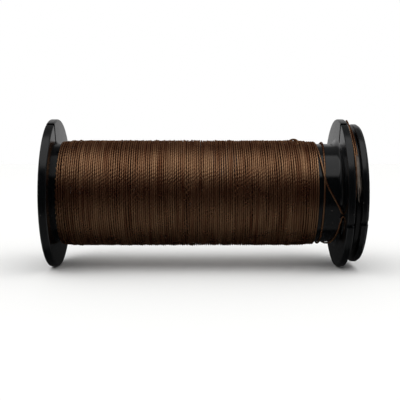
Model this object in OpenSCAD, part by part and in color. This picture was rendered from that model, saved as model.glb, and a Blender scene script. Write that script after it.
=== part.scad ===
// Waxed thread spool: a black moulded spool with a thread lock disc on its right
// end, wound with two layers of twisted waxed thread. It lies on its side. The
// spool's axis is X, Z is up, and the origin is on the axis, halfway along it.

/* [Spool] */
// Diameter of the two winding flanges
flange_d = 33; // [27:0.5:40]
// Thickness of the plain flange on the left end
left_flange_t = 1.85; // [1:0.05:2.5]
// Thickness of the flange beside the lock disc
right_flange_t = 1.55; // [1:0.05:2.5]
// Bevel on the edges of every rim
rim_bevel = 0.3; // [0.1:0.05:0.4]
// Clear length between the two flanges
winding_w = 62; // [50:0.5:76]
// Outside diameter of the barrel
barrel_d = 22; // [18:0.5:24]
// Wall of the barrel tube
barrel_wall = 1.4; // [1:0.1:1.8]
// Radius of the flare where the barrel meets the lock end's flange
flare_r = 1.2; // [0.6:0.1:1.6]
// Diameter of the spindle bore through both ends
spindle_d = 7; // [5:0.5:8]
// Length of the hub around the spindle bore in the left flange
hub_len = 9; // [6:0.5:14]
// Wall of the hub and of the lock disc's stem
hub_wall = 2; // [1.4:0.1:2.4]
// Depth of the label recess in the left end
recess_depth = 0.4; // [0.2:0.1:0.6]
// Width of the flat ring left outside the recess in each end
end_ring_w = 2; // [1.5:0.1:3]
// Width of the slit in each flange that catches a loose end of thread
slit_w = 1; // [0.4:0.1:1.6]

/* [Thread lock] */
// How far the lock disc's rim stands in from the flange rims
disc_inset = 1.1; // [0.5:0.1:2]
// Thickness of the lock disc
disc_t = 1.2; // [1:0.1:1.6]
// Height of the raised lip around the lock disc's outer face
disc_lip = 0.3; // [0.2:0.1:0.5]
// Width of the groove between the flange and the lock disc
groove_w = 1.6; // [1.4:0.1:2.4]
// Depth of the groove, from the disc's rim to the clamp ring
groove_depth = 1.2; // [1:0.1:1.6]
// Gap between the flange and the clamp ring, where the thread is held
pinch_gap = 0.6; // [0.5:0.05:0.8]
// How far the lock disc pulls out to free the thread
lock_travel = 2; // [1:0.1:3]
// How far the sleeve that guides the stem runs into the barrel
sleeve_len = 4; // [3:0.5:6]
// Width of the notches and of the slot that the thread passes
notch_w = 1.1; // [0.8:0.1:1.6]
// Depth of the notches in the rims
notch_depth = 0.8; // [0.5:0.1:1.2]

/* [Thread] */
// Diameter of the twisted thread
thread_d = 0.45; // [0.35:0.05:0.55]
// Length of bare barrel between the left flange and the inner layer
left_bare_w = 0.5; // [0.1:0.1:1.5]
// Length of bare barrel between the inner layer and the lock end's flange
bare_w = 5.3; // [5.2:0.1:8]
// How much sooner the outer layer ends than the inner one
layer_step = 1.3; // [1:0.1:4]

/* [Hidden] */

$fn = 96;

// Clearances, all radial: pressed spigots, the sliding stem and the thread.
press_gap = 0.02;
slide_gap = 0.08;
thread_gap = 0.03;

// Places along the axis, from the left end to the right end.
overall = left_flange_t + winding_w + right_flange_t + groove_w + disc_t + disc_lip;
x_left_out = -overall / 2;
x_left_in = x_left_out + left_flange_t;
x_right_in = x_left_in + winding_w;
x_right_out = x_right_in + right_flange_t;
x_disc_in = x_right_out + groove_w;
x_disc_out = x_disc_in + disc_t;
x_clamp = x_right_out + pinch_gap;
x_inner_end = x_right_in - bare_w;
x_outer_end = x_inner_end - layer_step;

// Radii, from the axis outwards.
flange_r = flange_d / 2;
spindle_r = spindle_d / 2;
hub_r = spindle_r + hub_wall;
barrel_r = barrel_d / 2;
bore_r = barrel_r - barrel_wall;
spigot_r = bore_r - press_gap;
spigot_wall = 1.2;
spigot_len = 4;
sleeve_bore_r = hub_r + slide_gap;
sleeve_wall = 1.2;
disc_r = flange_r - disc_inset;
clamp_r = disc_r - groove_depth;

// The stem ends in four snap fingers, whose barbs stop behind the sleeve.
barb_h = 0.5;
barb_len = 1.4;
finger_slot_w = 1.2;
finger_len = 5;
x_sleeve_end = x_right_in - sleeve_len;
x_barb = x_sleeve_end - lock_travel - 0.2;
x_stem_end = x_barb - barb_len;

// A key on the stem stops the lock disc turning in the sleeve.
key_w = 1.4;
key_h = 0.5;
key_gap = 0.1;

// The thread passes the lock end's flange at this angle, measured upwards from
// the front of the spool. The two strands lie side by side in the slot.
slot_angle = -20;
strand_apart = 1.8;

// The slits in the two flanges line up, at this angle.
slit_angle = 69;

// Two layers of thread nest in each other, so they are this far apart.
nest = 0.87 * thread_d;
inner_r = barrel_r + thread_d;
outer_r = inner_r + nest;
strand_r = thread_d / 2;
on_barrel = strand_r + thread_gap;
x_loose_turn = x_inner_end + 2.7 * thread_d;
x_beside_loose = x_loose_turn + thread_d + thread_gap;

// Routes of the free strands, as [x, radius, angle], chosen by hand. The lead
// comes from beside the inner layer, crosses over the loose turn, and runs down
// to the slot, where the start begins.
bare = x_right_in - x_beside_loose;
slot_r = barrel_r + 0.6;
lead_route = [
    for (p = [
        [-2.04, 0, 78], [-1.8, 0, 64], [-1.44, 0.15, 53], [-1.11, 0.5, 43], [-0.67, 0.9, 33],
        [-0.22, 1.09, 25], [0.33, 1.09, 19], [1.22, 0.77, 13], [2.33, 0.28, 8]
    ]) [x_loose_turn + p[0] * thread_d, barrel_r + on_barrel + p[1] * thread_d, p[2]],
    for (p = [[0.69, 3], [0.54, -2], [0.38, -7], [0.26, -11], [0.15, -15]])
        on_barrel_at(bare * p[0], p[1]),
    [x_right_in - 0.1, slot_r, slot_angle + strand_apart],
    [x_right_in + right_flange_t / 2, slot_r, slot_angle + strand_apart]
];
start_route = [
    for (p = [
        [1.00, -125], [0.97, -113], [0.84, -101], [0.70, -90], [0.56, -80], [0.44, -71],
        [0.35, -62], [0.28, -54], [0.23, -46], [0.19, -39], [0.165, -33], [0.125, -27]
    ]) on_barrel_at(bare * p[0], p[1]),
    [x_right_in - 0.1, slot_r, slot_angle - strand_apart],
    [x_right_out - 0.2, slot_r, slot_angle - strand_apart]
];
crossing_route = [
    for (p = [[-5.8, 104], [-5.5, 98], [-5.1, 92], [-4.7, 86], [-4.4, 80]])
        [x_inner_end + p[0], outer_r + on_barrel, p[1]]
];
x_tail = x_right_out + pinch_gap / 2;
tail_r = clamp_r + strand_r + 0.1;
tail_route = [
    [x_right_out - 0.5, slot_r, slot_angle + strand_apart],
    [x_right_out - 0.1, slot_r, slot_angle + strand_apart + 0.5],
    [x_tail, slot_r + 0.1, slot_angle + strand_apart + 1.5],
    [x_tail, slot_r + 0.3 * (tail_r - slot_r), slot_angle + 9],
    [x_tail, slot_r + 0.6 * (tail_r - slot_r), slot_angle + 15],
    [x_tail, slot_r + 0.9 * (tail_r - slot_r), slot_angle + 21],
    for (a = [27:5:167]) [x_tail, tail_r, slot_angle + a]
];

// Direction of an angle around the axis: 0 is the front, 90 is the top.
function around(r, a) = [-r * cos(a), r * sin(a)];
function place(p) = [p[0], around(p[1], p[2])[0], around(p[1], p[2])[1]];
function unit(v) = v / norm(v);

// Height of the barrel's flare at a distance from the lock end's flange, and a
// point of a strand that lies on the barrel or the flare there.
function flare_h(d) =
    let (k = min(max(1 - d / flare_r, 0), 1)) flare_r * (1 - sqrt(1 - k * k));
function on_barrel_at(d, a) =
    [x_right_in - d, barrel_r + on_barrel + flare_h(d - strand_r), a];

// One ring of a strand, square to the route, its corners counted from outwards.
function ring(c, along, r, sides) =
    let (out = unit([0, c[1], c[2]]), side = unit(cross(along, out)), up = cross(side, along))
    [for (k = [0:sides - 1]) c + r * (cos(360 * k / sides) * up + sin(360 * k / sides) * side)];

// A round strand swept along a route.
module strand(route, sides = 8) {
    pts = [for (p = route) place(p)];
    last = len(pts) - 1;
    rings = [
        for (i = [0:last])
            each ring(pts[i], unit(pts[min(i + 1, last)] - pts[max(i - 1, 0)]), strand_r, sides)
    ];
    walls = [
        for (i = [0:last - 1], k = [0:sides - 1])
            let (a = i * sides, n = (k + 1) % sides)
            [a + k, a + n, a + sides + n, a + sides + k]
    ];
    first_cap = [for (k = [sides - 1:-1:0]) k];
    last_cap = [for (k = [0:sides - 1]) last * sides + k];
    polyhedron(points = rings, faces = concat(walls, [first_cap, last_cap]));
}

// A turned shape: the outline's points are [radius, place along the axis].
module turned(outline) {
    rotate([0, 90, 0])
        rotate_extrude() polygon(outline);
}

// A round bar along the axis, from x1 to x2.
module bar(x1, x2, r) {
    translate([x1, 0, 0])
        rotate([0, 90, 0])
            cylinder(h = x2 - x1, r = r);
}

// A flat disc with bevelled rims, from x1 to x2.
module disc(x1, x2, r) {
    turned([
        [0, x1],
        [r - rim_bevel, x1],
        [r, x1 + rim_bevel],
        [r, x2 - rim_bevel],
        [r - rim_bevel, x2],
        [0, x2]
    ]);
}

// A block cut at an angle around the axis, reaching from radius r1 to r2.
module radial_cut(x1, x2, r1, r2, w, a) {
    rotate([-a, 0, 0])
        translate([x1, -r2, -w / 2])
            cube([x2 - x1, r2 - r1, w]);
}

// The tube that the thread is wound on, flared where it meets the lock end.
module barrel_tube() {
    color("#15171a")
        difference() {
            turned([
                [bore_r, x_left_in],
                [barrel_r, x_left_in],
                for (a = [0:15:90])
                    [barrel_r + flare_r * (1 - cos(a)), x_right_in - flare_r * (1 - sin(a))],
                [bore_r, x_right_in]
            ]);
            thread_slot();
        }
}

// The slot beside the barrel that the thread passes through.
module thread_slot() {
    radial_cut(x_right_in - flare_r - 0.1, x_right_out + 0.1, barrel_r + thread_gap / 2,
        barrel_r + flare_r + 0.1, notch_w + 0.5, slot_angle);
}

// A notch in a rim, for catching the thread.
module rim_notch(x1, x2, r) {
    radial_cut(x1, x2, r - notch_depth, r + 0.1, notch_w, slot_angle);
}

// The slit in a flange, from just outside the barrel's flare to the rim.
module thread_slit(x1, x2) {
    radial_cut(x1, x2, barrel_r + flare_r, flange_r + 0.1, slit_w, slit_angle);
}

// The left end: a flange, the spigot pressed into the barrel and the spindle hub.
module left_flange() {
    color("#15171a")
        difference() {
            union() {
                disc(x_left_out, x_left_in, flange_r);
                bar(x_left_out + recess_depth, x_left_in + spigot_len, spigot_r);
                bar(x_left_out, x_left_out + hub_len, hub_r);
            }
            difference() {
                bar(x_left_in, x_left_in + hub_len, spigot_r - spigot_wall);
                bar(x_left_out, x_left_out + hub_len, hub_r);
            }
            difference() {
                bar(x_left_out - 0.1, x_left_out + recess_depth, flange_r - end_ring_w);
                bar(x_left_out - 0.2, x_left_in, hub_r);
            }
            bar(x_left_out - 0.1, x_left_out + hub_len + 0.1, spindle_r);
            thread_slit(x_left_out - 0.1, x_left_in + 0.1);
        }
}

// The lock end's flange: its spigot, and the sleeve that guides the lock's stem.
module right_flange() {
    color("#15171a")
        difference() {
            union() {
                disc(x_right_in, x_right_out, flange_r);
                bar(x_right_in - spigot_len, x_right_in + 0.1, spigot_r);
            }
            difference() {
                bar(x_right_in - sleeve_len - 1, x_right_in, spigot_r - spigot_wall);
                bar(x_sleeve_end, x_right_in + 0.1, sleeve_bore_r + sleeve_wall);
            }
            bar(x_sleeve_end - 1, x_right_out + 0.1, sleeve_bore_r);
            radial_cut(x_sleeve_end - 1, x_right_out + 0.1, 0, hub_r + key_h + key_gap,
                key_w + 2 * key_gap, 90);
            thread_slot();
            rim_notch(x_right_in - 0.1, x_right_out + 0.1, flange_r);
            thread_slit(x_right_in - 0.1, x_right_out + 0.1);
        }
}

// The thread lock: a dished disc with a clamp ring, on a stem with snap fingers.
module lock_disc() {
    recess_r = clamp_r - disc_t;
    color("#15171a")
        difference() {
            union() {
                disc(x_disc_in, x_disc_out, disc_r);
                bar(x_clamp, x_disc_in + disc_t / 2, clamp_r);
                bar(x_disc_out - disc_t / 2, x_disc_out + disc_lip, disc_r - rim_bevel);
                bar(x_stem_end, x_disc_out, hub_r);
                turned([
                    [0, x_stem_end],
                    [hub_r, x_stem_end],
                    [hub_r + barb_h, x_barb - barb_h],
                    [hub_r + barb_h, x_barb],
                    [0, x_barb]
                ]);
                radial_cut(x_barb, x_clamp + 0.1, 0, hub_r + key_h, key_w, 90);
            }
            difference() {
                bar(x_clamp + disc_t, x_disc_out + disc_lip + 0.1, recess_r);
                bar(x_clamp, x_disc_out, hub_r);
            }
            bar(x_disc_out, x_disc_out + disc_lip + 0.1, disc_r - end_ring_w / 2);
            bar(x_stem_end - 0.1, x_disc_out + disc_lip + 0.1, spindle_r);
            for (a = [45, 135])
                rotate([a, 0, 0])
                    translate([x_stem_end - 0.1, -hub_r - 1, -finger_slot_w / 2])
                        cube([finger_len, 2 * hub_r + 2, finger_slot_w]);
            rim_notch(x_disc_in - 0.1, x_disc_out - disc_t / 2, disc_r);
        }
}

// The inner layer of turns, wound straight on the barrel.
module thread_inner_layer() {
    color("#3b2a22")
        turned([
            [barrel_r + thread_gap, x_left_in + left_bare_w],
            [inner_r, x_left_in + left_bare_w],
            [inner_r, x_inner_end - strand_r],
            [inner_r - strand_r, x_inner_end],
            [barrel_r + thread_gap, x_inner_end]
        ]);
}

// The outer layer, which ends sooner and starts on a rounded shoulder.
module thread_outer_layer() {
    shoulder = 4 * thread_d;
    start = x_left_in + left_bare_w + 0.8 * thread_d;
    color("#35251e")
        turned([
            [inner_r + thread_gap, start],
            [outer_r - strand_r, start],
            [outer_r, start + shoulder],
            [outer_r, x_outer_end - strand_r],
            [outer_r - strand_r, x_outer_end],
            [inner_r + thread_gap, x_outer_end]
        ]);
}

// The last turn, which lies a little apart from the rest.
module thread_loose_turn() {
    color("#3b2a22")
        rotate([0, 90, 0])
            translate([0, 0, x_loose_turn])
                rotate_extrude()
                    translate([barrel_r + on_barrel, 0])
                        circle(r = strand_r, $fn = 24);
}

// A short stretch that strayed over its neighbours while the spool was wound.
module thread_crossing_strand() {
    color("#3b2a22") strand(crossing_route);
}

// The beginning of the thread, from the slot to the first turn.
module thread_start_strand() {
    color("#3b2a22") strand(start_route);
}

// The end of the thread, from the last turn down to the slot.
module thread_lead_strand() {
    color("#3b2a22") strand(lead_route);
}

// The rest of the end, held in the groove behind the lock disc's clamp ring.
module thread_groove_tail() {
    color("#3b2a22") strand(tail_route);
}

barrel_tube();
left_flange();
right_flange();
lock_disc();
thread_inner_layer();
thread_outer_layer();
thread_loose_turn();
thread_crossing_strand();
thread_start_strand();
thread_lead_strand();
thread_groove_tail();
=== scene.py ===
import math
import bpy
import numpy as np
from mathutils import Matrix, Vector


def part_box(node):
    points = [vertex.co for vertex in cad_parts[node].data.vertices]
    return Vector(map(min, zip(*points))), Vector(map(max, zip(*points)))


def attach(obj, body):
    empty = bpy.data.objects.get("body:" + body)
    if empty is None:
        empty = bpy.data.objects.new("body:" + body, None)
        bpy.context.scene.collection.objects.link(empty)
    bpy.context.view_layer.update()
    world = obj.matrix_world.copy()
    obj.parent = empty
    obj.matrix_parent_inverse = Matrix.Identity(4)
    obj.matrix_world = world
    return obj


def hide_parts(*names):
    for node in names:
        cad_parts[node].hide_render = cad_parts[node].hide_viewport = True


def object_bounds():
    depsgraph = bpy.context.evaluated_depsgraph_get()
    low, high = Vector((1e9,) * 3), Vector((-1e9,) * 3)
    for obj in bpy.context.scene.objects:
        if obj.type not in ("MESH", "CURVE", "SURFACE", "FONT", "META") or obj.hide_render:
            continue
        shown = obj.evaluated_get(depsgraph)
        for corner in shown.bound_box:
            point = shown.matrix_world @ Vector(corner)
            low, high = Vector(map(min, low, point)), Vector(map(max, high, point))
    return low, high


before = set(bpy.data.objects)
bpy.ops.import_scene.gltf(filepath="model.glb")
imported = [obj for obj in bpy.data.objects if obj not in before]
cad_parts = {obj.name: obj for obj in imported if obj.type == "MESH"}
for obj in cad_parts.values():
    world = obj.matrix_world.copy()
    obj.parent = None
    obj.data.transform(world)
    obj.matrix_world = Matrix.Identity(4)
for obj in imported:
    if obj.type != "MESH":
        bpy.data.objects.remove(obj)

cad_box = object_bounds()
mm = 0.001

# --- View -------------------------------------------------------------------
# The spool lies on its side, seen square on from just above the table, through
# a lens that is long for so small a thing.
barrel_low, barrel_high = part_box("barrel_tube")
view_shift = 0.55 * mm
view_target = Vector(((barrel_low[0] + barrel_high[0]) / 2 + view_shift, 0, 0))
view_distance = 180 * mm
view_elevation = math.radians(4.7)
view_offset = Vector((0, -math.cos(view_elevation), math.sin(view_elevation)))
camera_data = bpy.data.cameras.new("camera")
camera_data.sensor_width = 36
camera_data.lens = 71.85
camera_data.shift_y = -0.0181
camera_data.clip_start = 10 * mm
camera = bpy.data.objects.new("camera", camera_data)
camera.location = view_target + view_offset * view_distance
camera.rotation_euler = (-view_offset).to_track_quat("-Z", "Y").to_euler()
bpy.context.collection.objects.link(camera)
bpy.context.scene.camera = camera

# --- Barrel -----------------------------------------------------------------
# The tube that the thread is wound on: black polypropylene, injection moulded
# in a polished tool, and flared where it meets the lock end's flange.
barrel_r = 11 * mm
barrel_bore_r = 9.6 * mm
flare_r = 1.2 * mm
slot_angle = math.radians(-20)
slot_w = 1.6 * mm
slot_floor_r = barrel_r + 0.015 * mm
notch_w = 1.1 * mm
turn_steps = 240
notch_steps = 29
arc_steps = 6
sharp_edge = math.radians(35)
past = 0.1 * mm  # how far a cutter reaches past what it cuts


def linear(hex_colour):
    """sRGB hex to the linear colour that a shader socket takes."""
    parts = [int(hex_colour[i:i + 2], 16) / 255 for i in (1, 3, 5)]
    return [c / 12.92 if c <= 0.04045 else ((c + 0.055) / 1.055) ** 2.4 for c in parts] + [1]


def add(tree, kind, settings=None, **inputs):
    """Adds a node, with its settings, and its inputs as values or as (node, output) links."""
    node = tree.nodes.new("ShaderNode" + kind)
    for name, value in (settings or {}).items():
        setattr(node, name, value)
    for name, value in inputs.items():
        socket = node.inputs[int(name[1:])] if name[0] == "_" else node.inputs[name.replace("_", " ")]
        if isinstance(value, tuple) and isinstance(value[0], bpy.types.Node):
            tree.links.new(value[0].outputs[value[1]], socket)
        else:
            socket.default_value = value
    return node


# Moulded black polypropylene from a polished tool: a near mirror with a faint
# ripple, fine rub marks from handling that spread the highlights, and some dust.
moulded_black = bpy.data.materials.new("moulded_black_polypropylene")
moulded_black.use_nodes = True
tree = moulded_black.node_tree
shader = tree.nodes["Principled BSDF"]
place = add(tree, "TexCoord")
ripple = add(tree, "TexNoise", Vector=(place, "Object"), Scale=0.45 / mm, Detail=2.0, Roughness=0.4)
grain = add(tree, "TexNoise", Vector=(place, "Object"), Scale=6 / mm, Detail=3.0, Roughness=0.6)
rubs = add(tree, "TexNoise", Vector=(place, "Object"), Scale=0.9 / mm, Detail=8.0, Roughness=0.75,
           Distortion=1.5)
rub_gloss = add(tree, "MapRange", {"name": "rub gloss"}, Value=(rubs, "Fac"),
                From_Min=0.35, From_Max=0.7, To_Min=0.06, To_Max=0.18)
dust = add(tree, "TexNoise", Vector=(place, "Object"), Scale=2.2 / mm, Detail=1.0)
dust_spots = add(tree, "MapRange", Value=(dust, "Fac"), From_Min=0.78, From_Max=0.84, To_Min=0.0, To_Max=1.0)
colour = add(tree, "MixRGB", _0=(dust_spots, "Result"), _1=linear("#050607"), _2=linear("#6e6a64"))
ripple_bump = add(tree, "Bump", Height=(ripple, "Fac"), Strength=0.1, Distance=0.05 * mm)
grain_bump = add(tree, "Bump", Height=(grain, "Fac"), Normal=(ripple_bump, "Normal"),
                 Strength=0.05, Distance=0.01 * mm)
shader.inputs["IOR"].default_value = 1.49
tree.links.new(colour.outputs["Color"], shader.inputs["Base Color"])
tree.links.new(rub_gloss.outputs["Result"], shader.inputs["Roughness"])
tree.links.new(grain_bump.outputs["Normal"], shader.inputs["Normal"])


def arced(corners):
    """An outline through corners given as (radius, x, rounding), with each corner rounded to an arc."""
    outline = []
    for i, (r, x, rounding) in enumerate(corners):
        here = np.array([r, x])
        if rounding == 0:
            outline.append(here)
            continue
        before = np.array(corners[i - 1][:2]) - here
        after = np.array(corners[(i + 1) % len(corners)][:2]) - here
        before /= np.linalg.norm(before)
        after /= np.linalg.norm(after)
        half = math.acos(np.clip(np.dot(before, after), -1, 1)) / 2
        middle = (before + after) / np.linalg.norm(before + after)
        centre = here + middle * rounding / math.sin(half)
        start = here + before * rounding / math.tan(half) - centre
        end = here + after * rounding / math.tan(half) - centre
        for k in range(arc_steps + 1):
            step = start * (1 - k / arc_steps) + end * k / arc_steps
            outline.append(centre + step / np.linalg.norm(step) * rounding)
    return outline


def turned(outline, notch_depth=0):
    """A mesh turned about the X axis from (radius, x) points, with a thread notch in its rim if asked."""
    rim = max(r for r, x in outline)
    angles = list(np.linspace(0, 2 * math.pi, turn_steps, endpoint=False))
    if notch_depth:  # the notch is steep at its sides, so it has finer steps of its own
        width = notch_w / rim
        centre = slot_angle % (2 * math.pi)
        angles = [a for a in angles if abs(a - centre) > width * 0.75]
        angles = sorted(angles + list(centre + width * np.linspace(-0.7, 0.7, notch_steps)))
    points = []
    for a in angles:
        limit = rim
        if notch_depth:
            off = abs(a - centre) / (width / 2)
            limit = rim - notch_depth * math.sqrt(max(0, 1 - off ** 4))
        for r, x in outline:
            near = min(r, limit)
            points.append((x, -near * math.cos(a), near * math.sin(a)))
    n = len(outline)
    faces = []
    for i in range(len(angles)):
        j = (i + 1) % len(angles)
        for k in range(n):
            m = (k + 1) % n
            faces.append((i * n + k, j * n + k, j * n + m, i * n + m))
    mesh = bpy.data.meshes.new("turned")
    mesh.from_pydata(points, [], faces)
    mesh.validate()
    mesh.shade_smooth()
    mesh.set_sharp_from_angle(angle=sharp_edge)
    return mesh


def block(x1, x2, r1, r2, width, angle):
    """A block at an angle around the axis, from radius r1 to r2, as a mesh."""
    out = Vector((0, -math.cos(angle), math.sin(angle)))
    side = Vector((0, math.sin(angle), math.cos(angle)))
    points = [
        Vector((x, 0, 0)) + out * r + side * w
        for x in (x1, x2) for r in (r1, r2) for w in (-width / 2, width / 2)
    ]
    faces = [(2, 3, 1, 0), (5, 7, 6, 4), (1, 5, 4, 0), (6, 7, 3, 2), (4, 6, 2, 0), (3, 7, 5, 1)]
    mesh = bpy.data.meshes.new("block")
    mesh.from_pydata(points, [], faces)
    return mesh


def piece(name, mesh, body, material, nodes, cutters=()):
    """A finished piece: its mesh less the cutters' shapes, its material and its place in the frame."""
    thing = bpy.data.objects.new(name, mesh)
    bpy.context.collection.objects.link(thing)
    for cutter_mesh in cutters:
        cutter = bpy.data.objects.new("cutter", cutter_mesh)
        bpy.context.collection.objects.link(cutter)
        cut = thing.modifiers.new("cut", "BOOLEAN")
        cut.object = cutter
        cut.solver = "EXACT"
        bpy.context.view_layer.update()
        cut_thing = thing.evaluated_get(bpy.context.evaluated_depsgraph_get())
        cut_mesh = bpy.data.meshes.new_from_object(cut_thing)
        thing.modifiers.clear()
        thing.data = cut_mesh
        bpy.data.objects.remove(cutter)
    if cutters:
        thing.data.shade_smooth()
        thing.data.set_sharp_from_angle(angle=sharp_edge)
    thing.data.materials.clear()
    thing.data.materials.append(material)
    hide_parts(*nodes)
    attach(thing, body)


left_in, right_in = barrel_low[0], barrel_high[0]
right_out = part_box("right_flange")[1][0]
flare = [
    (barrel_r + flare_r * (1 - math.cos(a)), right_in - flare_r * (1 - math.sin(a)))
    for a in np.radians(range(0, 91, 9))
]
slot_cut = block(right_in - flare_r - past, right_out + past, slot_floor_r, barrel_r + flare_r + past,
                 slot_w, slot_angle)
barrel = turned([(barrel_bore_r, left_in), (barrel_r, left_in)] + flare + [(barrel_bore_r, right_in)])
piece("barrel", barrel, "spool", moulded_black, ["barrel_tube"], [slot_cut])

# --- Left flange ------------------------------------------------------------
# The plain end: a disc moulded with the spigot that presses into the barrel and
# the hub that turns on a spindle. Its outer face has a shallow label recess, and
# a slit in from its rim catches a loose end of thread.
flange_low, flange_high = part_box("left_flange")
left_out = flange_low[0]
flange_r = flange_high[2]
spindle_r = 3.5 * mm
hub_r = 5.5 * mm
hub_end = flange_high[0]
spigot_r = 9.58 * mm
spigot_wall = 1.2 * mm
spigot_len = 4 * mm
recess_depth = 0.4 * mm
end_ring_w = 2 * mm
rim_round = 0.4 * mm
bore_round = 0.3 * mm
fine_round = 0.15 * mm
slit_w = 1 * mm
slit_angle = math.radians(69)

# The flanges' satin: the same polypropylene from a bead-blasted tool, which
# spreads each reflection a little and fades it out smoothly.
moulded_satin = moulded_black.copy()
moulded_satin.name = "satin_black_polypropylene"
moulded_satin.node_tree.nodes["rub gloss"].inputs["To Min"].default_value = 0.14
moulded_satin.node_tree.nodes["rub gloss"].inputs["To Max"].default_value = 0.26

left_flange = turned(arced([
    (spindle_r, left_out, bore_round),
    (hub_r, left_out, fine_round),
    (hub_r, left_out + recess_depth, fine_round),
    (flange_r - end_ring_w, left_out + recess_depth, fine_round),
    (flange_r - end_ring_w, left_out, fine_round),
    (flange_r, left_out, rim_round),
    (flange_r, left_in, rim_round),
    (spigot_r, left_in, 0),
    (spigot_r, left_in + spigot_len, fine_round),
    (spigot_r - spigot_wall, left_in + spigot_len, fine_round),
    (spigot_r - spigot_wall, left_in, fine_round),
    (hub_r, left_in, fine_round),
    (hub_r, hub_end, fine_round),
    (spindle_r, hub_end, fine_round),
]))
left_slit = block(left_out - past, left_in + past, barrel_r + flare_r, flange_r + past, slit_w, slit_angle)
piece("left_flange_moulding", left_flange, "spool", moulded_satin, ["left_flange"],
      [left_slit])

# --- Right flange -----------------------------------------------------------
# The flange beside the lock disc: the same moulded plastic, with a sleeve that
# guides the disc's stem, a slot at its root and a notch in its rim for thread.
sleeve_bore_r = 5.58 * mm
sleeve_wall = 1.2 * mm
sleeve_len = 4 * mm
sleeve_end = right_in - sleeve_len
thin_rim_round = 0.3 * mm
key_w = 1.4 * mm
key_h = 0.5 * mm
key_gap = 0.1 * mm
notch_depth = 0.8 * mm
top = math.radians(90)
well_past = 1 * mm  # the same, where a cutter ends in an open space

right_flange = turned(arced([
    (sleeve_bore_r, right_out, fine_round),
    (sleeve_bore_r, sleeve_end, fine_round),
    (sleeve_bore_r + sleeve_wall, sleeve_end, fine_round),
    (sleeve_bore_r + sleeve_wall, right_in, fine_round),
    (spigot_r - spigot_wall, right_in, fine_round),
    (spigot_r - spigot_wall, right_in - spigot_len, fine_round),
    (spigot_r, right_in - spigot_len, fine_round),
    (spigot_r, right_in, 0),
    (flange_r, right_in, thin_rim_round),
    (flange_r, right_out, thin_rim_round),
])[::-1], notch_depth)
keyway = block(sleeve_end - well_past, right_out + past, sleeve_bore_r - well_past, hub_r + key_h + key_gap,
               key_w + 2 * key_gap, top)
right_slit = block(right_in - past, right_out + past, barrel_r + flare_r, flange_r + past, slit_w, slit_angle)
piece("right_flange_moulding", right_flange, "spool", moulded_satin, ["right_flange"],
      [slot_cut.copy(), keyway, right_slit])

# --- Thread: inner layer ----------------------------------------------------
# Waxed thread, three plies twisted together and drawn through wax. The inner
# layer is wound on the bare barrel from the lock end to the plain end.
thread_d = 0.45 * mm
thread_r = thread_d / 2
twist_pitch = 2.45 * mm
wax_film = 0.03 * mm
inner_low, inner_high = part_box("thread_inner_layer")
on_barrel = barrel_r + thread_r + wax_film
chance = np.random.default_rng(45)

# Waxed brown thread: each ply is a bundle of dark brown fibres that the wax
# holds down, so light slides along it, and the grooves between plies stay dark.
waxed_brown = bpy.data.materials.new("waxed_brown_thread")
waxed_brown.use_nodes = True
tree = waxed_brown.node_tree
shader = tree.nodes["Principled BSDF"]
along = add(tree, "UVMap", {"uv_map": "Strand"})
place = add(tree, "TexCoord")
fibre_place = add(tree, "Mapping", Vector=(along, "UV"), Scale=(0.7, 14.0, 1.0))
fibres = add(tree, "TexNoise", Vector=(fibre_place, "Vector"), Scale=1.0, Detail=3.0, Roughness=0.65)
turn_place = add(tree, "Mapping", Vector=(place, "Object"), Scale=(1.7 / mm, 0.07 / mm, 0.07 / mm))
turn_tone = add(tree, "TexNoise", Vector=(turn_place, "Vector"), Scale=1.0, Detail=3.0, Roughness=0.6)
wax = add(tree, "TexNoise", Vector=(place, "Object"), Scale=0.35 / mm, Detail=4.0, Roughness=0.6)
fibre_colour = add(tree, "MixRGB", _0=(fibres, "Fac"), _1=linear("#160504"), _2=linear("#2e1009"))
tone = add(tree, "MapRange", Value=(turn_tone, "Fac"), From_Min=0.3, From_Max=0.7, To_Min=0.5, To_Max=1.3)
toned = add(tree, "VectorMath", {"operation": "SCALE"}, _0=(fibre_colour, "Color"), Scale=(tone, "Result"))
wax_gloss = add(tree, "MapRange", Value=(wax, "Fac"), From_Min=0.35, From_Max=0.65, To_Min=0.24, To_Max=0.38)
fibre_bump = add(tree, "Bump", Height=(fibres, "Fac"), Strength=0.35, Distance=0.03 * mm)
shader.inputs["IOR"].default_value = 2.9
shader.inputs["Specular IOR Level"].default_value = 1.0
gloss_tone = add(tree, "MapRange", Value=(turn_tone, "Fac"), From_Min=0.3, From_Max=0.7)
gloss_tint = add(tree, "MixRGB", _0=(gloss_tone, "Result"), _1=linear("#a06a4a"), _2=linear("#ffcc9c"))
tree.links.new(gloss_tint.outputs["Color"], shader.inputs["Specular Tint"])
tree.links.new(toned.outputs["Vector"], shader.inputs["Base Color"])
tree.links.new(wax_gloss.outputs["Result"], shader.inputs["Roughness"])
tree.links.new(fibre_bump.outputs["Normal"], shader.inputs["Normal"])

# One lobe of the three-ply section, as (angle from the ply's crest, share of the radius).
# A strand that shows is drawn a little thinner than it is sold, so that the gaps between
# turns stay dark, and a covered strand a little thicker, so that no light comes through.
ply_section = [(0, 1.0), (38, 0.95), (60, 0.8), (82, 0.95)]
plies = 3
strand_r = thread_r * 0.95
covered_r = thread_r * 1.05
covered_sides = 6
row_start, row_length = 0.005, 0.98
row_foot, row_height = 0.04, 0.92


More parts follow.
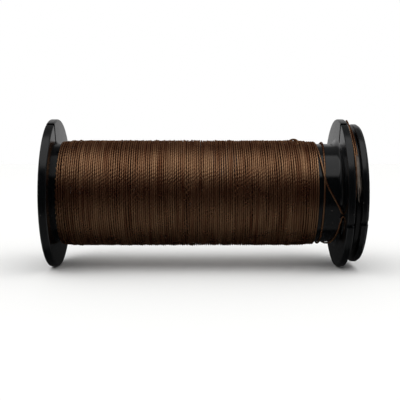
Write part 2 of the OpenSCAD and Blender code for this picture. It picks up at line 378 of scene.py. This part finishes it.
def strand_mesh(path, covered=False):
    """The thread swept along points an even step apart, its plies twisting as it goes."""
    path = np.asarray(path)
    ahead = np.gradient(path, axis=0)
    ahead /= np.linalg.norm(ahead, axis=1)[:, None]
    out = path * [0, 1, 1]
    out -= ahead * np.sum(out * ahead, axis=1)[:, None]
    out /= np.linalg.norm(out, axis=1)[:, None]
    side = np.cross(ahead, out)
    steps = np.linalg.norm(np.diff(path, axis=0), axis=1)
    length = np.concatenate([[0], np.cumsum(steps)])
    if covered:
        section = [(math.radians(360 / covered_sides * k), covered_r) for k in range(covered_sides)]
    else:
        section = [
            (math.radians(a + 360 / plies * ply), r * strand_r)
            for ply in range(plies) for a, r in ply_section
        ]
    n = len(section)
    twist = 2 * math.pi * length / twist_pitch
    rings = np.stack([
        path + r * (np.cos(twist + a)[:, None] * out + np.sin(twist + a)[:, None] * side)
        for a, r in section
    ], axis=1)
    count = len(path)
    first = np.arange(count - 1)[:, None] * n
    k = np.arange(n)[None, :]
    follow = (k + 1) % n
    quads = np.stack([first + k, first + follow, first + n + follow, first + n + k], axis=2).reshape(-1, 4)
    caps = [list(range(n))[::-1], list(range((count - 1) * n, count * n))]
    mesh = bpy.data.meshes.new("strand")
    mesh.vertices.add(count * n)
    mesh.vertices.foreach_set("co", rings.reshape(-1))
    loops = np.concatenate([quads.reshape(-1), caps[0], caps[1]])
    starts = np.concatenate([np.arange(len(quads)) * 4, [len(quads) * 4, len(quads) * 4 + n]])
    mesh.loops.add(len(loops))
    mesh.loops.foreach_set("vertex_index", loops.astype(np.int32))
    mesh.polygons.add(len(starts))
    mesh.polygons.foreach_set("loop_start", starts.astype(np.int32))
    mesh.update(calc_edges=True)
    mesh.shade_smooth()
    # Two maps: the length in mm and the place around, for the fibres, and one turn a row, for baking.
    turn_length = 2 * math.pi * barrel_r
    row = np.floor(length[:-1] / turn_length)
    rows = row[-1] + 1
    corner_length = np.stack([length[:-1], length[:-1], length[1:], length[1:]], axis=1)
    corner_length = np.repeat(corner_length[:, None, :], n, axis=1)
    corner_around = np.stack([k[0], k[0] + 1, k[0] + 1, k[0]], axis=1)[None] * np.ones((count - 1, 1, 1))
    strand_uv = np.stack([corner_length / mm, corner_around / n], axis=3).reshape(-1, 2)
    row_part = corner_length / turn_length - row[:, None, None]
    bake_uv = np.stack([
        row_start + row_length * row_part,
        (row[:, None, None] + row_foot + row_height * corner_around / n) / rows,
    ], axis=3).reshape(-1, 2)
    ends = np.zeros((2 * n, 2))
    for name, uv in (("Strand", strand_uv), ("OFBake", bake_uv)):
        layer = mesh.uv_layers.new(name=name)
        layer.data.foreach_set("uv", np.concatenate([uv, ends + uv[0]]).reshape(-1).astype(np.float32))
    return mesh


def wander(turns, size, seed):
    """A smooth unevenness along the winding, alike but not the same from each turn to the next."""
    luck = np.random.default_rng(seed)
    total = np.zeros_like(turns)
    for waves in (1, 2, 3, 5):
        drift = luck.uniform(0.02, 0.2)
        swing = luck.normal(0, size)
        phase = luck.uniform(0, 6.28)
        total += swing * np.sin(2 * math.pi * (waves * turns + drift * turns) + phase)
    return total / 2


def round_spool(x, r, angle):
    """Points around the spool: angle 0 is the front, and 90 degrees the top."""
    return np.stack([x, -r * np.cos(angle), r * np.sin(angle)], axis=1)


side_drift = 0.035 * mm
height_drift = 0.015 * mm


def wound(turn_x, turn_r, first_angle, step, seed):
    """A path of turns one after the other, going down over the front, given each one's place and radius."""
    turns = np.arange(0, len(turn_x) - 1, step / (2 * math.pi * barrel_r))
    counted = np.arange(len(turn_x))
    x = np.interp(turns, counted, turn_x) + wander(turns, side_drift, seed)
    r = np.interp(turns, counted, turn_r) + wander(turns, height_drift, seed + 1)
    return round_spool(x, r, first_angle - 2 * math.pi * turns)


shown_step = 0.3 * mm
covered_step = 1.2 * mm
left_slope_w = 4 * mm
inner_lift = 0.1 * mm
inner_turns = round((inner_high[0] - inner_low[0]) / thread_d)
inner_x = np.linspace(inner_high[0] + 0.1 * mm, inner_low[0] + thread_r, inner_turns)
inner_x += chance.normal(0, 0.02 * mm, inner_turns)
inner_r = on_barrel + np.abs(chance.normal(0, 0.01 * mm, inner_turns))
inner_r += inner_lift * np.clip((inner_x - inner_low[0]) / left_slope_w - 1, 0, 1)
shown_turns = 14
start_angle = math.radians(-250)
inner_shown = wound(inner_x[:shown_turns], inner_r[:shown_turns], start_angle, shown_step, 3)
inner_covered = wound(inner_x[shown_turns - 1:], inner_r[shown_turns - 1:], start_angle, covered_step, 5)
piece("thread_inner_turns", strand_mesh(inner_shown), "spool", waxed_brown,
      ["thread_inner_layer"])
piece("thread_inner_turns_covered", strand_mesh(inner_covered, covered=True), "spool", waxed_brown,
      ["thread_inner_layer"])

# --- Thread: outer layer ----------------------------------------------------
# The thread comes back over the inner layer, its turns lying in the grooves
# between the turns below, closer in some places and looser in others.
outer_low, outer_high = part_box("thread_outer_layer")
outer_r = outer_high[2] - thread_r
outer_turns = round((outer_high[0] - outer_low[0]) / thread_d)
spacing_spread = 0.09
height_spread = 0.03 * mm
proud_turns = 14
proud_by = 0.1 * mm
right_slope_w = 2 * mm
end_drop = 0.3 * mm

# The turns lie looser near the layer's two ends, a few stand proud, and the ends slope down.
outer_step = chance.normal(1, spacing_spread, outer_turns - 1)
outer_step[:6] *= 1.15
outer_step[-4:] *= 1.2
outer_place = np.concatenate([[0], np.cumsum(outer_step)])
outer_x = outer_low[0] + thread_r + outer_place / outer_place[-1] * (outer_high[0] - outer_low[0] - thread_d)
outer_rise = chance.normal(0, height_spread, outer_turns)
outer_rise[chance.integers(8, outer_turns - 8, proud_turns)] += proud_by
from_left = np.clip((outer_x - outer_low[0]) / left_slope_w, 0, 1)
from_right = np.clip((outer_high[0] - outer_x) / right_slope_w, 0, 1)
outer_turn_r = outer_r + outer_rise - end_drop * (1 - from_left) ** 2 - end_drop * (1 - from_right) ** 2

# The layer is drawn in four lengths, and the last ends early, where the thread leaves it.
leave_angle = math.radians(250)
lengths = 4
bounds = np.linspace(0, outer_turns - 1, lengths + 1).astype(int)
for i in range(lengths):
    part = slice(bounds[i], bounds[i + 1] + 1)
    path = wound(outer_x[part], outer_turn_r[part], start_angle, shown_step, 11 + i)
    if i == lengths - 1:
        path = path[:-round((leave_angle - start_angle - 2 * math.pi) * barrel_r / shown_step)]
    piece("thread_outer_turns_%d" % (i + 1), strand_mesh(path), "spool", waxed_brown,
          ["thread_outer_layer"])

# --- Thread: last turn, lead and start ---------------------------------------
# The thread leaves the winding in one loose turn and runs down over the bare
# barrel to the slot at the flange's root. Its beginning comes out of that slot
# too, and goes round the bare barrel to the first turn.
loose_x = sum(side[0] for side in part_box("thread_loose_turn")) / 2
beside_loose = loose_x + thread_d + wax_film
bare = right_in - beside_loose
slot_r = barrel_r + 0.6 * mm
into_slot_x = right_in - 0.1 * mm
in_slot_x = right_in + 0.6 * mm
lead_slot_angle = -18.2
start_slot_angle = -21.8
route_step = 0.25 * mm
curve_steps = 20


def flare_height(distance):
    """How far the barrel's flare stands above the barrel, at a distance from the flange."""
    share = min(max(1 - distance / flare_r, 0), 1)
    return flare_r * (1 - math.sqrt(1 - share * share))


def smooth_route(points, step):
    """A smooth path through (x, radius, degrees) points, an even step apart."""
    points = np.array([[x, r, math.radians(a)] for x, r, a in points])
    ends = np.concatenate([[2 * points[0] - points[1]], points, [2 * points[-1] - points[-2]]])
    fine = []
    for i in range(len(points) - 1):
        a, b, c, d = ends[i:i + 4]
        for t in np.linspace(0, 1, curve_steps, endpoint=False):
            fine.append(0.5 * (2 * b + (c - a) * t + (2 * a - 5 * b + 4 * c - d) * t ** 2
                               + (3 * b - a - 3 * c + d) * t ** 3))
    fine.append(points[-1])
    fine = np.array(fine)
    path = round_spool(fine[:, 0], fine[:, 1], fine[:, 2])
    length = np.concatenate([[0], np.cumsum(np.linalg.norm(np.diff(path, axis=0), axis=1))])
    even = np.linspace(0, length[-1], max(4, round(length[-1] / step)))
    return np.stack([np.interp(even, length, path[:, i]) for i in range(3)], axis=1)


def on_barrel_route(shares):
    """Route points on the bare barrel, from (share of the bare length, degrees)."""
    return [
        (right_in - bare * share, on_barrel + flare_height(bare * share - thread_r), angle)
        for share, angle in shares
    ]


def by_loose(offset, rise, angle):
    """A route point beside or on the loose turn, from an offset and a rise in thread diameters."""
    return (loose_x + offset * thread_d, on_barrel + rise * thread_d, angle)


last_turn_r = float(np.hypot(path[-1][1], path[-1][2]))
lead_route = [
    (path[-1][0] - 0.1 * mm, last_turn_r, 262), (path[-1][0], last_turn_r, 250),
    by_loose(-5.0, 0.85, 236), by_loose(-3.2, 0.8, 218), by_loose(-1.6, 0.1, 200),
    by_loose(-0.3, 0, 178), by_loose(0.8, 0, 150), by_loose(1.6, 0, 122), by_loose(1.9, 0, 95),
    by_loose(1.5, 0, 75), by_loose(0.9, 0, 52), by_loose(0.45, 0, 30), by_loose(0.1, 0, 8),
    by_loose(-0.1, 0, -15), by_loose(-0.25, 0, -40), by_loose(-0.25, 0, -70), by_loose(-0.3, 0, -100),
    by_loose(-0.4, 0.4, -122), by_loose(-0.6, 1.05, -142), by_loose(-0.8, 1.0, -158),
    by_loose(-1.0, 0.3, -178), by_loose(-1.4, 0, -200), by_loose(-1.75, 0, -230), by_loose(-1.95, 0, -262),
    by_loose(-2.04, 0, -282), by_loose(-1.8, 0, -296), by_loose(-1.44, 0.15, -307),
    by_loose(-1.11, 0.5, -317), by_loose(-0.67, 0.9, -327), by_loose(-0.22, 1.09, -335),
    by_loose(0.33, 1.09, -341), by_loose(1.22, 0.77, -347), by_loose(2.33, 0.28, -352),
] + on_barrel_route([(0.69, -357), (0.54, -362), (0.38, -367), (0.26, -371), (0.15, -375)]) + [
    (into_slot_x, slot_r, lead_slot_angle - 360),
    (in_slot_x, slot_r, lead_slot_angle - 360),
]
piece("thread_lead", strand_mesh(smooth_route(lead_route, route_step)), "spool", waxed_brown,
      ["thread_loose_turn", "thread_lead_strand"])

start_route = [
    (inner_x[0], on_barrel, -258), (inner_x[0] + 0.05 * mm, on_barrel, -240), by_loose(-2.2, 0, -212),
    by_loose(-1.6, 0, -186), by_loose(-0.8, 0, -160), by_loose(0.2, 0, -140),
] + on_barrel_route([
    (1.00, -125), (0.97, -113), (0.84, -101), (0.70, -90), (0.56, -80), (0.44, -71),
    (0.35, -62), (0.28, -54), (0.23, -46), (0.19, -39), (0.165, -33), (0.125, -27),
]) + [
    (into_slot_x, slot_r, start_slot_angle),
    (right_out - 0.2 * mm, slot_r, start_slot_angle),
]
piece("thread_start", strand_mesh(smooth_route(start_route, route_step)), "spool", waxed_brown,
      ["thread_start_strand"])

# --- Thread: tail in the groove ----------------------------------------------
# From the slot the thread rises through the pinch gap, runs up in the groove
# around the clamp ring, stands out in a small loop at the top and comes back
# down beside itself.
tail_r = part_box("thread_groove_tail")[1][2] - thread_r
pinch_gap = 0.6 * mm
gap_x = right_out + pinch_gap / 2
groove_x = right_out + 0.56 * mm
second_x = groove_x + 0.5 * mm
rise = tail_r - slot_r
tail_route = [
    (in_slot_x, slot_r, lead_slot_angle),
    (right_out - 0.1 * mm, slot_r, -17.7),
    (gap_x, slot_r + 0.1 * mm, -16.7),
    (gap_x, slot_r + 0.3 * rise, -11),
    (gap_x, slot_r + 0.6 * rise, -5),
    (gap_x, slot_r + 0.9 * rise, 1),
    (gap_x, tail_r, 7),
] + [(groove_x, tail_r, a) for a in range(15, 63, 5)] + [
    (groove_x, tail_r + 0.35 * mm, 68),
    (groove_x, tail_r + 1.0 * mm, 75),
    (groove_x, tail_r + 1.5 * mm, 82),
    (groove_x + 0.1 * mm, tail_r + 1.65 * mm, 88),
    (groove_x + 0.3 * mm, tail_r + 1.4 * mm, 90),
    (groove_x + 0.45 * mm, tail_r + 0.9 * mm, 86),
    (groove_x + 0.5 * mm, tail_r + 0.4 * mm, 79),
    (second_x, tail_r + 0.1 * mm, 72),
] + [(second_x + 0.06 * mm * math.sin(a), tail_r, a) for a in range(66, 31, -6)]
piece("thread_tail", strand_mesh(smooth_route(tail_route, route_step)), "spool", waxed_brown,
      ["thread_groove_tail"])

# --- Thread: loose fibres -----------------------------------------------------
# The thread is spun from polyester fibres. Its cut end has frayed into them, and
# short ones stand out of the winding here and there.
fibre_sides = 3
tip_taper = 0.7


def fibre_mesh(paths, radius):
    """Fine three-sided fibres along paths, each of them tapering to its tip, as one mesh."""
    points, faces = [], []
    for line in paths:
        base = len(points)
        line = np.asarray(line)
        ahead = np.gradient(line, axis=0)
        side = np.cross(ahead, line * [0, 1, 1])
        side /= np.linalg.norm(side, axis=1)[:, None]
        up = np.cross(side, ahead)
        up /= np.linalg.norm(up, axis=1)[:, None]
        for i, point in enumerate(line):
            thick = radius * (1 - tip_taper * i / (len(line) - 1))
            for corner in range(fibre_sides):
                a = 2 * math.pi * corner / fibre_sides
                points.append(point + thick * (math.cos(a) * side[i] + math.sin(a) * up[i]))
        for i in range(len(line) - 1):
            for corner in range(fibre_sides):
                here = base + fibre_sides * i + corner
                beside = base + fibre_sides * i + (corner + 1) % fibre_sides
                faces.append((here, beside, beside + fibre_sides, here + fibre_sides))
        tip = base + fibre_sides * (len(line) - 1)
        faces += [range(base, base + fibre_sides)[::-1], range(tip, tip + fibre_sides)]
    mesh = bpy.data.meshes.new("fibres")
    mesh.from_pydata([tuple(point) for point in points], [], faces)
    mesh.shade_smooth()
    return mesh


# Loose polyester fibre, rubbed up by handling: pale where the wax has gone.
loose_fibre = bpy.data.materials.new("loose_polyester_fibre")
loose_fibre.use_nodes = True
tree = loose_fibre.node_tree
shader = tree.nodes["Principled BSDF"]
place = add(tree, "TexCoord")
patches = add(tree, "TexNoise", Vector=(place, "Object"), Scale=1.2 / mm, Detail=2.0)
colour = add(tree, "MixRGB", _0=(patches, "Fac"), _1=linear("#3a281d"), _2=linear("#b5a99c"))
tree.links.new(colour.outputs["Color"], shader.inputs["Base Color"])
shader.inputs["Roughness"].default_value = 0.5

frayed_count = 36
frayed_r = 0.035 * mm
frayed_low = right_out + 0.05 * mm
frayed_high = right_out + 1.5 * mm
frayed = []
for i in range(frayed_count):
    first = math.radians(34 + chance.uniform(0, 6))
    length = math.radians(chance.uniform(12, 42))
    bend = chance.uniform(0.5, 2.5)
    phase = chance.uniform(0, 6.28)
    share = np.linspace(0, 1, 12)
    x = second_x + chance.normal(-0.1 * mm, 0.12 * mm) + share * chance.normal(-0.1 * mm, 0.25 * mm)
    x = np.clip(x + 0.12 * mm * share * np.sin(bend * 6 * share + phase), frayed_low, frayed_high)
    r = tail_r + chance.normal(0, 0.08 * mm) + share * chance.uniform(0, 0.5 * mm)
    r += 0.1 * mm * share * np.sin(bend * 7 * share + 2 * phase)
    frayed.append(round_spool(x, r, first - share * length))
piece("thread_frayed_end", fibre_mesh(frayed, frayed_r), "spool", loose_fibre,
      ["thread_groove_tail"])

hair_count = 170
hair_r = 0.012 * mm
hairs = []
for i in range(hair_count):
    x = chance.uniform(outer_low[0] + 1 * mm, outer_high[0])
    angle = chance.uniform(0, 2 * math.pi)
    reach = chance.uniform(0.1 * mm, 0.4 * mm)
    lean = chance.normal(0, 0.35 * mm)
    around = chance.normal(0, 0.05)
    share = np.linspace(0, 1, 6)
    stand = outer_r + thread_r * 0.8 + reach * share * (1.6 - 0.6 * share)
    hairs.append(round_spool(x + lean * share ** 2, stand, angle + around * share))
piece("thread_fuzz", fibre_mesh(hairs, hair_r), "spool", loose_fibre, ["thread_outer_layer"])

# --- Thread: crossing strand --------------------------------------------------
# Near the lock end one short stretch of the thread strayed over its neighbours
# as it was wound, and lies on top of them.
winding_end = inner_high[0]
over_outer = outer_high[2] + thread_r * 0.7
crossing_route = [
    (winding_end - 4.9 * mm, outer_r, 114),
    (winding_end - 4.8 * mm, over_outer, 106),
    (winding_end - 4.55 * mm, over_outer, 99),
    (winding_end - 4.25 * mm, over_outer, 92),
    (winding_end - 3.95 * mm, over_outer, 85),
    (winding_end - 3.7 * mm, over_outer, 78),
    (winding_end - 3.6 * mm, outer_r, 70),
]
piece("thread_crossing", strand_mesh(smooth_route(crossing_route, route_step)), "spool", waxed_brown,
      ["thread_crossing_strand"])

# --- Lock disc --------------------------------------------------------------
# The thread lock: a dished disc of the same plastic, with a clamp ring behind
# it and a stem whose four snap fingers hold it in the flange's sleeve.
disc_low, disc_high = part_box("lock_disc")
disc_r = disc_high[2]
lip_x = disc_high[0]
lip_h = 0.3 * mm
lip_round = 0.12 * mm
disc_out = lip_x - lip_h
disc_t = 1.2 * mm
disc_in = disc_out - disc_t
clamp_x = right_out + pinch_gap
clamp_r = disc_r - 1.2 * mm
clamp_w = 1.2 * mm
dish_r = clamp_r - clamp_w
dish_x = clamp_x + 1.2 * mm
stem_end = disc_low[0]
barb_x = stem_end + 1.4 * mm
barb_r = hub_r + 0.5 * mm
barb_w = 0.5 * mm
finger_slot_w = 1.2 * mm
finger_len = 5 * mm

lock_disc = turned(arced([
    (spindle_r, disc_out, bore_round),
    (spindle_r, stem_end, fine_round),
    (hub_r, stem_end, 0),
    (barb_r, barb_x - barb_w, 0),
    (barb_r, barb_x, 0),
    (hub_r, barb_x, 0),
    (hub_r, clamp_x, fine_round),
    (clamp_r, clamp_x, 0.2 * mm),
    (clamp_r, disc_in, fine_round),
    (disc_r, disc_in, thin_rim_round),
    (disc_r, disc_out, thin_rim_round),
    (disc_r - lip_h, disc_out, 0.05 * mm),
    (disc_r - lip_h, lip_x, lip_round),
    (disc_r - end_ring_w / 2, lip_x, lip_round),
    (disc_r - end_ring_w / 2, disc_out, 0.1 * mm),
    (dish_r, disc_out, 0.2 * mm),
    (dish_r, dish_x, 0.4 * mm),
    (hub_r, dish_x, 0.3 * mm),
    (hub_r, disc_out, 0.2 * mm),
])[::-1], notch_depth)
finger_cuts = [
    block(stem_end - past, stem_end - past + finger_len, -hub_r - well_past, hub_r + well_past,
          finger_slot_w, math.radians(angle))
    for angle in (45, 135)
]
piece("lock_disc_moulding", lock_disc, "thread_lock", moulded_satin, ["lock_disc"],
      finger_cuts)

# --- Table and light --------------------------------------------------------
# A plain table top with matt white paint, under one wide soft light in front
# and above, and a bright ceiling that lightens the shadows.
table_z = cad_box[0][2]
half = 500 * mm
table_mesh = bpy.data.meshes.new("table")
corners = [(-half, -half, table_z), (half, -half, table_z), (half, half, table_z), (-half, half, table_z)]
table_mesh.from_pydata(corners, [], [(0, 1, 2, 3)])
table = bpy.data.objects.new("table", table_mesh)
bpy.context.collection.objects.link(table)
table.visible_glossy = False
white_paint = bpy.data.materials.new("matt_white_table")
white_paint.use_nodes = True
shader = white_paint.node_tree.nodes["Principled BSDF"]
shader.inputs["Base Color"].default_value = linear("#e8e8e7")
shader.inputs["Roughness"].default_value = 0.8
shader.inputs["Specular IOR Level"].default_value = 0.0
table_mesh.materials.append(white_paint)


def soft_light(name, width, depth, energy, distance, elevation):
    """A wide light in front of or above the spool that faces it and isn't itself seen or mirrored."""
    data = bpy.data.lights.new(name, "AREA")
    data.shape = "RECTANGLE"
    data.size = width
    data.size_y = depth
    data.energy = energy
    light = bpy.data.objects.new(name, data)
    towards = Vector((0, -math.cos(elevation), math.sin(elevation)))
    light.location = towards * distance
    light.rotation_euler = towards.to_track_quat("Z", "Y").to_euler()
    light.visible_camera = False
    light.visible_glossy = False
    bpy.context.collection.objects.link(light)


soft_light("softbox", 3.0, 2.6, energy=14.0, distance=2.0, elevation=math.radians(52))
soft_light("bright_ceiling", 8.0, 8.0, energy=150.0, distance=1.5, elevation=top)

# --- Studio around the spool --------------------------------------------------
# What the glossy plastic and the waxed thread mirror: a softbox in front and
# above, a dim wall behind, a dark room in front, the lit floor, panels at both
# sides and a faint glow past both ends.
world = bpy.data.worlds.new("studio")
bpy.context.scene.world = world
world.use_nodes = True
tree = world.node_tree
background = tree.nodes["Background"]


def fade(place, start, end, before, after):
    """A smooth change of brightness along a direction; before or after may be another fade."""
    fading = add(tree, "MapRange", {"interpolation_type": "SMOOTHSTEP"}, Value=place,
                 From_Min=start, From_Max=end, To_Min=before, To_Max=after)
    return fading, "Result"


def joined(operation, first, second):
    """Two brightnesses added, or the greater of them."""
    return add(tree, "Math", {"operation": operation}, _0=first, _1=second), "Value"


direction = add(tree, "TexCoord")
split = add(tree, "SeparateXYZ", Vector=(direction, "Generated"))
sideways = add(tree, "Math", {"operation": "ABSOLUTE"}, _0=(split, "X"))
back, up, aside = (split, "Y"), (split, "Z"), (sideways, "Value")
softbox = fade(back, 0.1, 0.25, fade(up, 0.62, 0.74, 0, 0.85), 0)
room = fade(back, 0.1, 0.3, 0.01, fade(up, -0.12, -0.02, 0.02, 0.14))
wall = fade(back, 0.72, 0.85, 0, fade(up, -0.12, -0.02, 0, 0.3))
floor_in_front = fade(back, -0.1, 0.1, fade(up, -0.3, -0.6, 0, 0.12), 0)
floor_beside = fade(aside, 0.5, 0.75, 0, fade(up, -0.08, -0.3, 0, 0.24))
panels = fade(aside, 0.4, 0.65, 0, fade(up, 0.3, 0.5, 0, 0.3))
far_ends = fade(aside, 0.88, 0.96, 0, 0.13)
sides = joined("MAXIMUM", joined("ADD", floor_beside, panels), far_ends)
behind = joined("MAXIMUM", joined("ADD", room, wall), sides)
lit = joined("ADD", behind, joined("ADD", softbox, floor_in_front))
seen = add(tree, "LightPath")
shown, output = joined("MAXIMUM", lit, (seen, "Is Camera Ray"))
tree.links.new(shown.outputs[output], background.inputs["Strength"])
background.inputs["Color"].default_value = (1, 1, 1, 1)
bpy.context.scene.view_settings.view_transform = "Standard"
